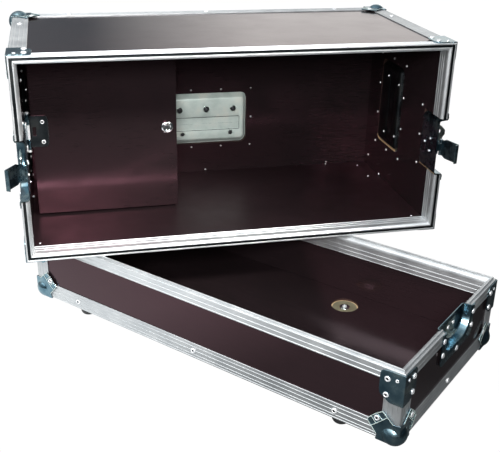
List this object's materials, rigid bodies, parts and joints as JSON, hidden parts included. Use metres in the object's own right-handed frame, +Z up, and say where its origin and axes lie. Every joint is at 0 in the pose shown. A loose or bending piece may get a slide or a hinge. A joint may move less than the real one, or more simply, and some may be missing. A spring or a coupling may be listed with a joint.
{
  "type": "transport case",
  "caption": "Two-part transport case with aluminium edges: a deep box with a compartment door, standing on the rim of its shallow footed tray.",
  "frame": {"origin": "on the ground, in the middle of the whole object's box", "axes": "+X along the deep box's length, its opening faces -Y, +Z up"},
  "size_m": [0.804, 0.8216, 0.5313],
  "materials": {
    "film_faced_board": "glossy phenolic film, dark maroon",
    "aluminium_edging": "drawn, fine grooves",
    "zinc_hardware": "zinc plated, smooth",
    "chrome": "polished",
    "rubber": "matt",
    "grip_rubber": "satin"
  },
  "bodies": {
    "tray": {"tray_floor_panel": "film_faced_board", "tray_front_panel": "film_faced_board", "tray_back_panel": "film_faced_board", "tray_left_panel": "film_faced_board", "tray_right_panel": "film_faced_board", "tray_rim_front": "aluminium_edging", "tray_rim_back": "aluminium_edging", "tray_edge_frame": "aluminium_edging", "tray_ball_corner_front_left": "zinc_hardware", "tray_ball_corner_front_right": "zinc_hardware", "tray_ball_corner_back_left": "zinc_hardware", "tray_ball_corner_back_right": "zinc_hardware", "tray_corner_brace_front_left": "zinc_hardware", "tray_corner_brace_front_right": "zinc_hardware", "tray_corner_brace_back_left": "zinc_hardware", "tray_corner_brace_back_right": "zinc_hardware", "tray_keeper_dish_left": "zinc_hardware", "tray_keeper_dish_right": "zinc_hardware", "tray_foot_front_left": "rubber", "tray_foot_front_right": "rubber", "tray_foot_back_left": "rubber", "tray_foot_back_right": "rubber"},
    "case": {"case_back_panel": "film_faced_board", "case_top_panel": "film_faced_board", "case_bottom_panel": "film_faced_board", "case_left_panel": "film_faced_board", "case_right_panel": "film_faced_board", "divider_panel": "film_faced_board", "case_rim_top": "aluminium_edging", "case_rim_bottom": "aluminium_edging", "case_edge_frame": "aluminium_edging", "case_ball_corner_bottom_left": "zinc_hardware", "case_ball_corner_bottom_right": "zinc_hardware", "case_ball_corner_top_left": "zinc_hardware", "case_ball_corner_top_right": "zinc_hardware", "case_corner_brace_bottom_left": "zinc_hardware", "case_corner_brace_bottom_right": "zinc_hardware", "case_corner_brace_top_left": "zinc_hardware", "case_corner_brace_top_right": "zinc_hardware", "case_latch_dish_left": "zinc_hardware", "case_latch_dish_right": "zinc_hardware", "handle_dish_left": "zinc_hardware", "handle_dish_right": "zinc_hardware", "handle_dish_back": "zinc_hardware", "hinge_wall_leaf": "zinc_hardware"},
    "door": {"door_panel": "film_faced_board", "hinge_door_leaf": "zinc_hardware", "door_lock_housing": "chrome"},
    "door_lock": {"door_lock_barrel": "chrome"},
    "latch_rotor_left": {"latch_rotor_left": "zinc_hardware"},
    "latch_key_left": {"latch_key_left": "zinc_hardware"},
    "latch_drawbar_left": {"latch_drawbar_left": "zinc_hardware"},
    "latch_hook_left": {"latch_hook_left": "zinc_hardware"},
    "latch_rotor_right": {"latch_rotor_right": "zinc_hardware"},
    "latch_key_right": {"latch_key_right": "zinc_hardware"},
    "latch_drawbar_right": {"latch_drawbar_right": "zinc_hardware"},
    "latch_hook_right": {"latch_hook_right": "zinc_hardware"},
    "handle_grip_left": {"handle_grip_left": "grip_rubber"},
    "handle_grip_right": {"handle_grip_right": "grip_rubber"},
    "handle_grip_back": {"handle_grip_back": "grip_rubber"}
  },
  "joints": [
    {"name": "case_lift", "type": "slide", "parent": "tray", "child": "case", "axis": [0, 0, 1], "range_m": [0, 0.3]},
    {"name": "door_hinge", "type": "hinge", "parent": "case", "child": "door", "pos_m": [-0.36674, 0.20283, 0.3458], "axis": [0, 0, -1], "range_deg": [0, 90]},
    {"name": "door_lock_turn", "type": "hinge", "parent": "door", "child": "door_lock", "pos_m": [-0.11174, 0.20683, 0.3413], "axis": [0, -1, 0], "range_deg": [0, 90]},
    {"name": "latch_right_turn", "type": "hinge", "parent": "case", "child": "latch_rotor_right", "pos_m": [0.36826, 0.07383, 0.3313], "axis": [1, 0, 0], "range_deg": [0, 90]},
    {"name": "latch_right_key_fold", "type": "hinge", "parent": "latch_rotor_right", "child": "latch_key_right", "pos_m": [0.37226, 0.08583, 0.3313], "axis": [0, 0, -1], "range_deg": [0, 90]},
    {"name": "latch_right_draw", "type": "slide", "parent": "case", "child": "latch_drawbar_right", "axis": [0, 1, 0], "range_m": [0, 0.006]},
    {"name": "latch_right_hook_swing", "type": "hinge", "parent": "latch_drawbar_right", "child": "latch_hook_right", "pos_m": [0.37126, 0.03683, 0.3313], "axis": [0, 0, 1], "range_deg": [-17, 73]},
    {"name": "latch_left_turn", "type": "hinge", "parent": "case", "child": "latch_rotor_left", "pos_m": [-0.37374, 0.07383, 0.3313], "axis": [-1, 0, 0], "range_deg": [0, 90]},
    {"name": "latch_left_key_fold", "type": "hinge", "parent": "latch_rotor_left", "child": "latch_key_left", "pos_m": [-0.37774, 0.08583, 0.3313], "axis": [0, 0, 1], "range_deg": [-90, 0]},
    {"name": "latch_left_draw", "type": "slide", "parent": "case", "child": "latch_drawbar_left", "axis": [0, 1, 0], "range_m": [0, 0.006]},
    {"name": "latch_left_hook_swing", "type": "hinge", "parent": "latch_drawbar_left", "child": "latch_hook_left", "pos_m": [-0.37674, 0.03683, 0.3313], "axis": [0, 0, -1], "range_deg": [-32, 58]},
    {"name": "handle_right_lift", "type": "hinge", "parent": "case", "child": "handle_grip_right", "pos_m": [0.37026, 0.29983, 0.3448], "axis": [0, 0, 1], "range_deg": [0, 90], "stiffness_Nm_per_rad": 0.15, "springref_deg": -17.19},
    {"name": "handle_left_lift", "type": "hinge", "parent": "case", "child": "handle_grip_left", "pos_m": [-0.37574, 0.29983, 0.3448], "axis": [0, 0, -1], "range_deg": [0, 90], "stiffness_Nm_per_rad": 0.15, "springref_deg": -17.19},
    {"name": "handle_back_lift", "type": "hinge", "parent": "case", "child": "handle_grip_back", "pos_m": [-0.00274, 0.39583, 0.3273], "axis": [1, 0, 0], "range_deg": [0, 90], "stiffness_Nm_per_rad": 0.15, "springref_deg": -17.19}
  ],
  "couplings": [
    {"joint": "latch_left_draw", "follows": "latch_left_turn", "m_per_rad": 0.0038},
    {"joint": "latch_right_draw", "follows": "latch_right_turn", "m_per_rad": 0.0038}
  ]
}
